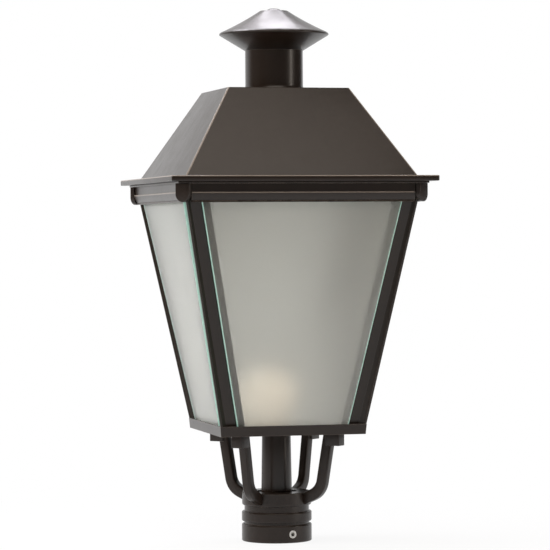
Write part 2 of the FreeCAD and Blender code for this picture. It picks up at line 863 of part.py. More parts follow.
def make_lamp_shell():
    """Threaded metal shell of the lamp, seated on the holder's contact."""
    body = make_body("lamp_base")
    cup = f"({HOLDER_TOP} - holder_cup_depth)"
    profile = make_sketch(body, "shell_profile", "XZ_Plane")
    outline(profile, [
        ("0", cup),
        ("lamp_contact_radius", cup),
        ("lamp_shell_radius", f"{cup} + lamp_contact_height"),
        ("lamp_shell_radius", f"{cup} + lamp_shell_height"),
        ("0", f"{cup} + lamp_shell_height"),
    ])
    revolve(body, profile)
    return body


def make_lamp_globe():
    """White glass globe of the lamp, drawn in to its neck."""
    body = make_body("lamp_globe")
    foot = f"({HOLDER_TOP} - holder_cup_depth + lamp_shell_height)"
    crown = f"({foot} + lamp_height)"
    profile = make_sketch(body, "globe_profile", "XZ_Plane")
    outline(profile, [
        ("lamp_shell_radius - lamp_wall * 2", foot),
        ("lamp_shell_radius - lamp_wall", foot),
        ("lamp_radius", f"{crown} - lamp_radius", "lamp_radius", -1),
        ("0", crown),
        ("0", f"{crown} - lamp_wall", "lamp_radius - lamp_wall", 1),
        ("lamp_radius - lamp_wall", f"{crown} - lamp_radius"),
    ])
    revolve(body, profile)
    return body


def make_terminal_block():
    """Terminal block on the floor beside the holder."""
    body = make_body("terminal_block")
    plan = make_sketch(body, "block_plan", "XY_Plane", FLOOR_TOP)
    rectangle(plan, "-terminal_length / 2", "terminal_length / 2",
              "terminal_place - terminal_width / 2", "terminal_place + terminal_width / 2")
    pad(body, plan, "terminal_height")
    return body


# ---------------------------------------------------------------- assembly
nodes = [make_collar(), make_wire_tube(), make_floor(), make_bottom_frame(), make_top_ring()]
for number in range(3):
    nodes.append(make_clamp_screw(f"clamp_screw_{number + 1}", 120 * number))
for name, angle in CORNERS.items():
    nodes.append(make_arm(f"support_arm_{name}", angle))
    nodes.append(make_corner_bar(f"corner_bar_{name}", angle))
    nodes.append(make_corner_block(f"corner_block_{name}", angle))
for name, angle in SIDES.items():
    nodes.append(make_pane(f"glass_pane_{name}", angle))
    nodes.append(make_cornice_rail(f"cornice_rail_{name}", angle))
nodes.append(group("arm_screws", [make_arm_screw(k, 90 * k) for k in range(4)]))
nodes.append(group("pane_seat_strips", [make_seat_strip(name, angle) for name, angle in SIDES.items()]))
nodes.append(group("pane_clips", [make_clip(name, number, angle, place) for name, angle in SIDES.items()
                                  for number, place in enumerate(("-clip_place", "clip_place"))]))
nodes += [make_roof_flange(), make_roof_shell(), make_neck(), make_cap(), make_cap_nut(), make_strap(), make_rod()]
nodes.append(group("roof_rod_nuts", [make_rod_nut(1, f"({RING_TOP} - nut_height)"),
                                     make_rod_nut(2, f"({RING_TOP} + strap_thick)")]))
nodes += [make_lamp_holder(), make_lamp_shell(), make_lamp_globe(), make_terminal_block()]
doc.recompute()

# ---------------------------------------------------------------- checks and files
for item in doc.Objects:
    if "Invalid" in item.State or "Error" in item.State:
        raise RuntimeError(f"{item.Label} did not build: {item.State}")
os.makedirs("parts", exist_ok=True)
for node in nodes:
    shape = node.Shape
    if shape.isNull() or not shape.isValid() or not shape.Solids:
        raise RuntimeError(f"{node.Label} has no valid solid")
    print(f"{node.Label:28s} solids {len(shape.Solids)} volume {shape.Volume:12.1f}")
    shape.exportStep(os.path.join("parts", node.Label + ".step"))
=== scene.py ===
"""Looks of a post top lantern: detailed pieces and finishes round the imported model, with its studio.

Metres. The origin is the centre of the collar's open edge, +Z runs up the post and -Y is the front.
"""
import logging
import math
from dataclasses import dataclass
from enum import Enum
from typing import Callable, Sequence, Union

import bmesh
import bpy
from mathutils import Matrix, Vector


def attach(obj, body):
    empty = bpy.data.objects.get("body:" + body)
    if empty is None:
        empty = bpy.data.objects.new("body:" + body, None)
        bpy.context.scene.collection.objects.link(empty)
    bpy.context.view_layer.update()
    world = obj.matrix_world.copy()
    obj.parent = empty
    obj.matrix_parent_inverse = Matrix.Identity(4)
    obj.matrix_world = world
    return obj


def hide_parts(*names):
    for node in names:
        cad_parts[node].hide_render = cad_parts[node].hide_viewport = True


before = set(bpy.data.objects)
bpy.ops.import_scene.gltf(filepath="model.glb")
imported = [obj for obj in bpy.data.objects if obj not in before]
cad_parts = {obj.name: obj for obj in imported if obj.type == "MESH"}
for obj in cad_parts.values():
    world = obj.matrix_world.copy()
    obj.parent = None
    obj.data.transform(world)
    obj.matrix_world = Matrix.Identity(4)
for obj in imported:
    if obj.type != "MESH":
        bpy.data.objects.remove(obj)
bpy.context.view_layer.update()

log = logging.getLogger("lantern")

Point = tuple[float, float]
Colour = tuple[float, float, float]
LANTERN = "lantern"
SIDES = {"rear": 0, "left": 90, "front": 180, "right": 270}
CORNERS = {"rear_right": 0, "rear_left": 90, "front_left": 180, "front_right": 270}
DIAGONAL = 45


# ---------------------------------------------------------------- shader graph
class Socket:
    """An output socket whose arithmetic adds Math nodes to its graph."""

    def __init__(self, graph: "Graph", output: bpy.types.NodeSocket) -> None:
        """Keep the graph and the output.

        Args:
            graph: The graph that the output belongs to.
            output: The node's output socket.
        """
        self.graph = graph
        self.output = output

    def __add__(self, other: "Value") -> "Socket":
        """Sum."""
        return self.graph.math("ADD", self, other)

    def __sub__(self, other: "Value") -> "Socket":
        """Difference."""
        return self.graph.math("SUBTRACT", self, other)

    def __rsub__(self, other: "Value") -> "Socket":
        """Difference from a number."""
        return self.graph.math("SUBTRACT", other, self)

    def __mul__(self, other: "Value") -> "Socket":
        """Product."""
        return self.graph.math("MULTIPLY", self, other)

    __radd__ = __add__
    __rmul__ = __mul__

    def clamped(self) -> "Socket":
        """The value held between 0 and 1."""
        return self.graph.node("ShaderNodeClamp", inputs={"Value": self})


Value = Union[Socket, float]


class Graph:
    """The node tree of one material."""

    def __init__(self, name: str) -> None:
        """Make an empty node material.

        Args:
            name: The finish's name.
        """
        self.material = bpy.data.materials.new(name)
        self.material.use_nodes = True
        self.tree = self.material.node_tree
        self.tree.nodes.clear()

    def node(self, kind: str, settings: dict | None = None, inputs: dict | None = None,
             output: int | str = 0) -> "Socket | None":
        """Add one node.

        Args:
            kind: The node's type name.
            settings: Properties set first; "stops" holds a ramp's (position, colour) pairs.
            inputs: Socket name or index to a value or a Socket.
            output: Which output the result wraps.

        Returns:
            The chosen output, or nothing for a node without outputs.
        """
        node = self.tree.nodes.new(kind)
        for key, value in (settings or {}).items():
            if key == "stops":
                self._set_stops(node.color_ramp, value)
            else:
                setattr(node, key, value)
        for key, value in (inputs or {}).items():
            if isinstance(value, Socket):
                self.tree.links.new(value.output, node.inputs[key])
            else:
                node.inputs[key].default_value = value
        return Socket(self, node.outputs[output]) if len(node.outputs) else None

    @staticmethod
    def _set_stops(ramp: bpy.types.ColorRamp, stops: Sequence[tuple[float, Colour]]) -> None:
        """Give a ramp its stops.

        Args:
            ramp: The ramp.
            stops: Position and colour of each stop, from left to right.
        """
        while len(ramp.elements) < len(stops):
            ramp.elements.new(1.0)
        for element, (position, colour) in zip(ramp.elements, stops):
            element.position = position
            element.color = (*colour, 1.0)

    def math(self, operation: str, first: Value, second: Value) -> Socket:
        """A Math node on two values."""
        return self.node("ShaderNodeMath", {"operation": operation}, {0: first, 1: second})

    def smooth(self, value: Value, low: float, high: float) -> Socket:
        """A smooth step from 0 at low to 1 at high."""
        return self.node("ShaderNodeMapRange", {"interpolation_type": "SMOOTHSTEP"},
                         {"Value": value, "From Min": low, "From Max": high})

    def mix(self, factor: Value, first: "Socket | Colour", second: "Socket | Colour") -> Socket:
        """Blend two colours.

        Args:
            factor: How much of the second colour shows.
            first: The colour at factor 0.
            second: The colour at factor 1.

        Returns:
            The mixed colour.
        """
        first, second = (c if isinstance(c, Socket) else (*c, 1.0) for c in (first, second))
        return self.node("ShaderNodeMix", {"data_type": "RGBA"},
                         {0: factor, 6: first, 7: second}, output=2)

    def place(self) -> Socket:
        """The point on the object, in metres."""
        return self.node("ShaderNodeTexCoord", output="Object")

    def height(self) -> Socket:
        """The point's height above the collar's open edge."""
        return self.node("ShaderNodeSeparateXYZ", inputs={0: self.place()}, output=2)

    def noise(self, scale: float, detail: float = 2.0, roughness: float = 0.5,
              stretch: Colour = (1.0, 1.0, 1.0)) -> Socket:
        """Noise on the object, between 0 and 1.

        Args:
            scale: Features to a metre.
            detail: Octaves.
            roughness: How strong the fine octaves are.
            stretch: Scale along each axis, for drawn or brushed marks.

        Returns:
            The noise value.
        """
        place = self.node("ShaderNodeVectorMath", {"operation": "MULTIPLY"}, {0: self.place(), 1: stretch})
        return self.node("ShaderNodeTexNoise", {"noise_dimensions": "3D"},
                         {"Vector": place, "Scale": scale, "Detail": detail, "Roughness": roughness})

    def edges(self, radius: float) -> Socket:
        """Mask of the edges, where wear shows and where a highlight is painted.

        Args:
            radius: Reach of the mask from an edge, in metres.

        Returns:
            1 on an edge and 0 on a flat face.
        """
        rounded = self.node("ShaderNodeBevel", {"samples": 4}, {"Radius": radius})
        facing = self.node("ShaderNodeNewGeometry", output="Normal")
        likeness = self.node("ShaderNodeVectorMath", {"operation": "DOT_PRODUCT"},
                             {0: rounded, 1: facing}, output="Value")
        return self.smooth(1.0 - likeness, 0.01, 0.20)

    def upward(self) -> Socket:
        """Share of a face that looks up, where dust settles."""
        facing = self.node("ShaderNodeNewGeometry", output="Normal")
        return self.smooth(self.node("ShaderNodeSeparateXYZ", inputs={0: facing}, output=2), 0.25, 0.95)

    def bump(self, height: Value, depth: float, strength: float = 1.0) -> Socket:
        """Normal bent by a height field.

        Args:
            height: The height, between 0 and 1.
            depth: The height that 1 stands for, in metres.
            strength: How much of the bump is used.

        Returns:
            The bent normal.
        """
        inputs = {"Strength": strength, "Distance": depth, "Height": height}
        return self.node("ShaderNodeBump", inputs=inputs)

    def surface(self, inputs: dict) -> bpy.types.Material:
        """Finish the material with one principled surface.

        Args:
            inputs: The surface's sockets.

        Returns:
            The finished material.
        """
        shader = self.node("ShaderNodeBsdfPrincipled", inputs=inputs)
        return self.output(shader)

    def output(self, shader: Socket) -> bpy.types.Material:
        """Send a shader to the material's output."""
        self.node("ShaderNodeOutputMaterial", inputs={"Surface": shader})
        return self.material


# ---------------------------------------------------------------- finishes
def toned(colour: Colour, factor: float) -> Colour:
    """The colour made darker or lighter by a factor."""
    return tuple(factor * channel for channel in colour)


@dataclass(frozen=True)
class PowderCoat:
    """Satin powder coat with its fine skin, faint streaks, dust, and edges made lighter, partly as wear and
    partly as a painted highlight.
    """

    name: str
    colour: Colour = (0.017, 0.0105, 0.0072)
    # Colour of the edges, partly wear and partly a painted highlight.
    edge_wear_and_highlight: Colour = (0.280, 0.235, 0.195)
    dust: Colour = (0.060, 0.050, 0.042)
    roughness: float = 0.28
    grain: float = 1100.0
    grain_depth: float = 0.00007
    cast_depth: float = 0.0
    wear_and_highlight_reach: float = 0.0012
    wear_and_highlight_share: float = 0.60
    dust_share: float = 0.35

    def make(self) -> bpy.types.Material:
        """Build the node material.

        Returns:
            The finished material.
        """
        graph = Graph(self.name)
        cloud = graph.noise(9.0, 3.0)
        skin = graph.noise(self.grain, 2.0, 0.6)
        streaks = graph.noise(60.0, 3.0, 0.6, (1.0, 1.0, 0.12))
        # Lighter edges: partly wear, partly a painted highlight where light catches the rounded edges.
        edge_wear_and_highlight = graph.edges(self.wear_and_highlight_reach) * graph.smooth(graph.noise(55.0, 4.0, 0.7), 0.30, 0.58)
        dusty = graph.upward() * graph.smooth(graph.noise(38.0, 4.0, 0.65), 0.35, 0.80)
        shade = graph.mix(cloud, toned(self.colour, 0.86), toned(self.colour, 1.14))
        shade = graph.mix(dusty * self.dust_share, shade, self.dust)
        shade = graph.mix(edge_wear_and_highlight * self.wear_and_highlight_share, shade, self.edge_wear_and_highlight)
        rough = self.roughness - 0.05 + 0.06 * cloud + 0.05 * streaks + 0.05 * skin + 0.12 * dusty
        height = skin * 0.7 + graph.noise(self.grain * 0.35, 1.0) * 0.3
        normal = graph.bump(height, self.grain_depth)
        if self.cast_depth:
            pits = graph.noise(260.0, 3.0, 0.55)
            normal = graph.node("ShaderNodeBump", inputs={
                "Strength": 1.0, "Distance": self.cast_depth, "Height": pits, "Normal": normal})
        return graph.surface({"Base Color": shade, "Roughness": rough, "Normal": normal,
                              "Specular IOR Level": 0.32, "Coat Weight": 0.12, "Coat Roughness": 0.12})


@dataclass(frozen=True)
class EtchedGlass:
    """Satin etched glass, milky in its skin, with faint clouds from the bath."""

    name: str = "etched_glass"
    colour: Colour = (0.85, 0.855, 0.82)
    skin_colour: Colour = (0.8373, 0.8422, 0.8077)
    clear: float = 0.72
    skin_share: float = 0.5
    roughness: float = 0.36
    ior: float = 1.45

    def make(self) -> bpy.types.Material:
        """Build the node material.

        Returns:
            The finished material.
        """
        graph = Graph(self.name)
        cloud = graph.noise(7.0, 3.0)
        skin = graph.noise(1500.0, 1.0)
        shade = graph.mix(cloud, toned(self.colour, 0.97), self.colour)
        rough = self.roughness - 0.02 + 0.04 * cloud
        normal = graph.bump(skin, 0.00005, 0.5)
        common = {"Base Color": shade, "Roughness": rough, "IOR": self.ior, "Normal": normal}
        milk = graph.node("ShaderNodeBsdfPrincipled", inputs=common)
        glow = graph.node("ShaderNodeBsdfTranslucent", inputs={
            "Color": (*self.skin_colour, 1.0), "Normal": normal})
        skinned = graph.node("ShaderNodeMixShader", inputs={0: self.skin_share, 1: milk, 2: glow})
        body = graph.node("ShaderNodeBsdfPrincipled", inputs=common | {"Transmission Weight": 1.0})
        return graph.output(graph.node("ShaderNodeMixShader", inputs={0: self.clear, 1: skinned, 2: body}))


@dataclass(frozen=True)
class GroundEdge:
    """Ground and polished cut edge of a pane in the glass's own green, with a painted glow in its emission
    that stands in for light carried through the pane.
    """

    name: str = "ground_glass_edge_painted_glow"
    colour: Colour = (0.36, 0.50, 0.43)
    # Colour of the painted glow on the edge.
    glow: Colour = (0.20, 0.34, 0.29)

    def make(self) -> bpy.types.Material:
        """Build the node material.

        Returns:
            The finished material.
        """
        graph = Graph(self.name)
        marks = graph.noise(420.0, 2.0, 0.6, (1.0, 1.0, 0.1))
        shade = graph.mix(marks, toned(self.colour, 0.85), toned(self.colour, 1.12))
        # Painted glow: emission on the cut edge that stands in for light carried through the pane.
        light = graph.mix(marks, toned(self.glow, 0.88), toned(self.glow, 1.10))
        return graph.surface({"Base Color": shade, "Roughness": 0.16 + 0.22 * marks, "IOR": 1.5,
                              "Emission Color": light, "Emission Strength": 0.85,
                              "Normal": graph.bump(marks, 0.00006)})


@dataclass(frozen=True)
class Steel:
    """Turned or plated steel with its drawn marks and a little grime."""

    name: str
    colour: Colour = (0.56, 0.55, 0.53)
    roughness: float = 0.28
    marks: Colour = (1.0, 1.0, 0.1)
    grime_share: float = 0.5

    def make(self) -> bpy.types.Material:
        """Build the node material.

        Returns:
            The finished material.
        """
        graph = Graph(self.name)
        drawn = graph.noise(900.0, 2.0, 0.6, self.marks)
        grime = graph.smooth(graph.noise(160.0, 4.0, 0.65), 0.48, 0.78)
        shade = graph.mix(grime * self.grime_share, self.colour, toned(self.colour, 0.35))
        return graph.surface({"Base Color": shade, "Metallic": 1.0 - 0.3 * grime,
                              "Roughness": self.roughness + 0.15 * drawn + 0.2 * grime,
                              "Normal": graph.bump(drawn, 0.00003)})


@dataclass(frozen=True)
class Moulded:
    """Plain moulded or glazed stuff: rubber, plastic or ceramic."""

    name: str
    colour: Colour
    roughness: float
    skin: float = 700.0
    skin_depth: float = 0.00005
    coat: float = 0.0

    def make(self) -> bpy.types.Material:
        """Build the node material.

        Returns:
            The finished material.
        """
        graph = Graph(self.name)
        cloud = graph.noise(45.0, 3.0)
        skin = graph.noise(self.skin, 2.0)
        shade = graph.mix(cloud, toned(self.colour, 0.90), self.colour)
        return graph.surface({"Base Color": shade, "Roughness": self.roughness - 0.04 + 0.08 * cloud,
                              "Coat Weight": self.coat, "Normal": graph.bump(skin, self.skin_depth)})


@dataclass(frozen=True)
class LitOpal:
    """White opal glass, lit from inside, dimmer towards its neck."""

    name: str = "lit_opal_glass"
    colour: Colour = (0.95, 0.93, 0.88)
    glow: Colour = (1.0, 0.86, 0.70)
    strength: float = 1.2
    dim_below: float = 0.20
    full_above: float = 0.27

    def make(self) -> bpy.types.Material:
        """Build the node material.

        Returns:
            The finished material.
        """
        graph = Graph(self.name)
        cloud = graph.noise(30.0, 2.0)
        bright = graph.smooth(graph.height(), self.dim_below, self.full_above)
        shade = graph.mix(cloud, toned(self.colour, 0.96), self.colour)
        glow = graph.mix(bright, toned(self.glow, 0.45), self.glow)
        return graph.surface({"Base Color": shade, "Roughness": 0.18 + 0.08 * cloud,
                              "Emission Color": glow, "Emission Strength": self.strength})


@dataclass(frozen=True)
class StudioPaper:
    """White paper of the floor and the backdrop, which keeps a soft shadow near the collar."""

    name: str
    colour: Colour = (0.816, 0.816, 0.816)
    shown: float = 0.90
    near: float = 0.15
    far: float = 0.80

    def make(self) -> bpy.types.Material:
        """Build the node material.

        Returns:
            The finished material.
        """
        graph = Graph(self.name)
        paper = graph.node("ShaderNodeBsdfDiffuse", inputs={"Color": (*self.colour, 1.0)})
        white = graph.node("ShaderNodeEmission", inputs={"Color": (1.0, 1.0, 1.0, 1.0), "Strength": 1.0})
        rays = [graph.node("ShaderNodeLightPath", output=name)
                for name in ("Is Camera Ray", "Is Glossy Ray", "Is Transmission Ray")]
        away = graph.node("ShaderNodeVectorMath", {"operation": "LENGTH"},
                          {0: graph.place()}, output="Value")
        lit = self.shown + (1.0 - self.shown) * graph.smooth(away, self.near, self.far)
        seen = (rays[0] + rays[1] + rays[2]).clamped() * lit
        return graph.output(graph.node("ShaderNodeMixShader", inputs={0: seen, 1: paper, 2: white}))


class Finish(Enum):
    """The lantern's finishes."""

    SHEET = PowderCoat("sheet_powder_coat")
    CAST = PowderCoat("cast_powder_coat", grain=800.0, cast_depth=0.00018, roughness=0.31)
    # A lighter copy of the powder coat, put on the cornice ledges, the flange's top edge and the roof's
    # hips as a painted highlight.
    PAINTED_HIGHLIGHT = PowderCoat("powder_coat_painted_highlight", (0.235, 0.200, 0.170), roughness=0.30)
    GLASS = EtchedGlass()
    EDGE = GroundEdge()
    STAINLESS = Steel("stainless_steel")
    ZINC = Steel("zinc_plated_steel", (0.50, 0.50, 0.49), 0.38)
    RUBBER = Moulded("seat_rubber", (0.022, 0.022, 0.022), 0.70)
    CERAMIC = Moulded("glazed_ceramic", (0.78, 0.77, 0.73), 0.20, coat=0.5)
    BRASS = Steel("lamp_shell_metal", (0.74, 0.62, 0.38), 0.25, (1.0, 1.0, 4.0))
    OPAL = LitOpal()
    PLASTIC = Moulded("terminal_plastic", (0.72, 0.71, 0.67), 0.42)
    PAPER = StudioPaper("floor_paper")


class Wardrobe:
    """Makes each finish once and puts it on pieces."""

    def __init__(self) -> None:
        """Start with nothing made."""
        self._made: dict[Finish, bpy.types.Material] = {}

    def get(self, finish: Finish) -> bpy.types.Material:
        """The material of a finish, made on first use.

        Args:
            finish: The finish.

        Returns:
            Its material.
        """
        if finish not in self._made:
            self._made[finish] = finish.value.make()
        return self._made[finish]

    def dress(self, piece: bpy.types.Object, *finishes: Finish) -> None:
        """Put finishes on a piece and keep its faces' finish numbers.

        Args:
            piece: The piece.
            finishes: Its finishes, by face number.
        """
        kinds = [min(face.material_index, len(finishes) - 1) for face in piece.data.polygons]
        piece.data.materials.clear()
        for finish in finishes:
            piece.data.materials.append(self.get(finish))
        piece.data.polygons.foreach_set("material_index", kinds)


# ---------------------------------------------------------------- studio
@dataclass
class Studio:
    """Floor, backdrop, lamps, world and camera."""

    floor_half: float = 9.0
    backdrop_at: float = 5.0
    backdrop_half: float = 7.0
    backdrop_high: float = 7.0
    bend: float = 1.5
    bend_steps: int = 16
    room_colour: Colour = (1.0, 0.92, 0.85)
    room_strength: float = 0.07
    camera_at: tuple[float, float, float] = (-1.0302, -4.2301, 0.4721)
    heading: float = 13.6814
    pitch: float = -0.8469
    roll: float = -0.3486
    lens: float = 185.4
    view_reach: float = 100.0

    def build(self, wardrobe: Wardrobe) -> None:
        """Set up the whole studio.

        Args:
            wardrobe: Where the finishes come from.
        """
        self.sweep(wardrobe)
        self.light()
        self.camera()
        bpy.context.scene.view_settings.view_transform = "Standard"

    def sweep(self, wardrobe: Wardrobe) -> None:
        """Floor and backdrop as one sheet of paper with a soft bend between them.

        Args:
            wardrobe: Where the finishes come from.
        """
        curve = [(-self.floor_half, 0.0), (self.backdrop_at - self.bend, 0.0)]
        for step in range(1, self.bend_steps + 1):
            turn = math.radians(90 * step / self.bend_steps)
            curve.append((self.backdrop_at - self.bend + self.bend * math.sin(turn),
                          self.bend * (1 - math.cos(turn))))
        curve.append((self.backdrop_at, self.backdrop_high))
        mesh = bpy.data.meshes.new("paper_sweep")
        points = [(x, y, z) for y, z in curve for x in (-self.backdrop_half, self.backdrop_half)]
        faces = [(2 * k, 2 * k + 1, 2 * k + 3, 2 * k + 2) for k in range(len(curve) - 1)]
        mesh.from_pydata(points, [], faces)
        mesh.shade_smooth()
        paper = bpy.data.objects.new("paper_sweep", mesh)
        bpy.context.scene.collection.objects.link(paper)
        wardrobe.dress(paper, Finish.PAPER)

    def light(self) -> None:
        """Soft boxes and a plain pale world."""
        warm, cool = (1.0, 0.90, 0.80), (0.97, 0.94, 1.0)
        self.soft_box("left_soft_box", (-2.6, 0.3, 1.1), (0.0, 0.0, 0.45), (1.6, 2.4), 80.0,
                      mirrored=False)
        self.soft_box("right_soft_box", (2.4, -1.5, 0.9), (0.0, 0.0, 0.45), (0.5, 1.8), 16.0, warm)
        self.soft_box("top_soft_box", (-0.2, 1.45, 2.9), (0.0, 0.0, 0.8), (2.4, 0.9), 74.0, cool)
        self.soft_box("front_soft_box", (-0.3, -1.9, 3.3), (0.0, 0.0, 0.6), (3.4, 2.6), 74.0, warm)
        world = bpy.data.worlds.new("pale_room")
        world.use_nodes = True
        background = world.node_tree.nodes["Background"]
        background.inputs["Color"].default_value = (*self.room_colour, 1.0)
        background.inputs["Strength"].default_value = self.room_strength
        bpy.context.scene.world = world

    @staticmethod
    def soft_box(name: str, at: Sequence[float], towards: Sequence[float], size: Point, power: float,
                 colour: Colour = (1.0, 1.0, 1.0), mirrored: bool = True) -> None:
        """One rectangular area lamp.

        Args:
            name: The lamp's name.
            at: Its centre.
            towards: The point it faces.
            size: Width and height.
            power: Watts.
            colour: Its colour.
            mirrored: Whether glossy faces mirror it.
        """
        lamp = bpy.data.lights.new(name, "AREA")
        lamp.shape = "RECTANGLE"
        lamp.size, lamp.size_y = size
        lamp.energy = power
        lamp.color = colour
        box = bpy.data.objects.new(name, lamp)
        box.location = at
        box.rotation_euler = (Vector(towards) - Vector(at)).to_track_quat("-Z", "Y").to_euler()
        box.visible_glossy = mirrored
        bpy.context.scene.collection.objects.link(box)

    def camera(self) -> None:
        """The photograph's viewpoint."""
        heading, pitch = math.radians(self.heading), math.radians(self.pitch)
        level = math.cos(pitch)
        ahead = Vector((math.sin(heading) * level, math.cos(heading) * level, math.sin(pitch)))
        right = ahead.cross(Vector((0.0, 0.0, 1.0))).normalized()
        up = right.cross(ahead)
        facing = Matrix((right, up, -ahead)).transposed().to_4x4()
        data = bpy.data.cameras.new("viewpoint")
        data.lens = self.lens
        data.clip_end = self.view_reach
        camera = bpy.data.objects.new("viewpoint", data)
        camera.matrix_world = (Matrix.Translation(self.camera_at) @ facing
                               @ Matrix.Rotation(math.radians(self.roll), 4, "Z"))
        bpy.context.scene.collection.objects.link(camera)
        bpy.context.scene.camera = camera


# ---------------------------------------------------------------- meshes
MM = 0.001
Place = tuple[float, float, float]
SOFT_STEPS = 4
SIDE_SHARE = 0.49
SHALLOWEST = 0.5
MERGE = 0.000002


def soften(outline: Sequence[Point], radius: float, steps: int = SOFT_STEPS) -> list[Point]:
    """Round every corner of a closed outline.

    Args:
        outline: The outline's corners.
        radius: The rounding, kept under half of the shorter side at each corner.
        steps: Sides of each rounding.

    Returns:
        The outline with steps + 1 points in place of each corner.
    """
    soft: list[Point] = []
    for index, corner in enumerate(outline):
        here = Vector(corner)
        back = Vector(outline[index - 1]) - here
        ahead = Vector(outline[(index + 1) % len(outline)]) - here
        angle = back.angle(ahead)
        reach = min(radius / math.tan(angle / 2), back.length * SIDE_SHARE, ahead.length * SIDE_SHARE)
        start, finish = here + back.normalized() * reach, here + ahead.normalized() * reach
        for step in range(steps + 1):
            share = step / steps
            low, high = start.lerp(here, share), here.lerp(finish, share)
            soft.append(tuple(low.lerp(high, share)))
    return soft


def inset(outline: Sequence[Point], distance: float) -> list[Point]:
    """Move a closed outline inwards.

    Args:
        outline: The outline, in either direction.
        distance: How far its sides move.

    Returns:
        The outline with the same number of points.
    """
    count = len(outline)
    area = sum(outline[k][0] * outline[(k + 1) % count][1] - outline[(k + 1) % count][0] * outline[k][1]
               for k in range(count))
    inward = 1.0 if area > 0 else -1.0
    moved = []
    for index, corner in enumerate(outline):
        here = Vector(corner)
        back = (here - Vector(outline[index - 1])).normalized()
        ahead = (Vector(outline[(index + 1) % count]) - here).normalized()
        normal = Vector((-back.y - ahead.y, back.x + ahead.x)).normalized() * inward
        stretch = max(SHALLOWEST, normal.dot(Vector((-back.y, back.x)) * inward))
        moved.append(tuple(here + normal * distance / stretch))
    return moved


def arc(centre: Point, radius: float, first: float, last: float, steps: int = 10) -> list[Point]:
    """Points on an arc.

    Args:
        centre: The arc's centre.
        radius: Its radius.
        first: Degrees of the first point.
        last: Degrees of the last point.
        steps: Sides of the arc.

    Returns:
        steps + 1 points.
    """
    turns = [math.radians(first + (last - first) * step / steps) for step in range(steps + 1)]
    return [(centre[0] + radius * math.cos(turn), centre[1] + radius * math.sin(turn)) for turn in turns]


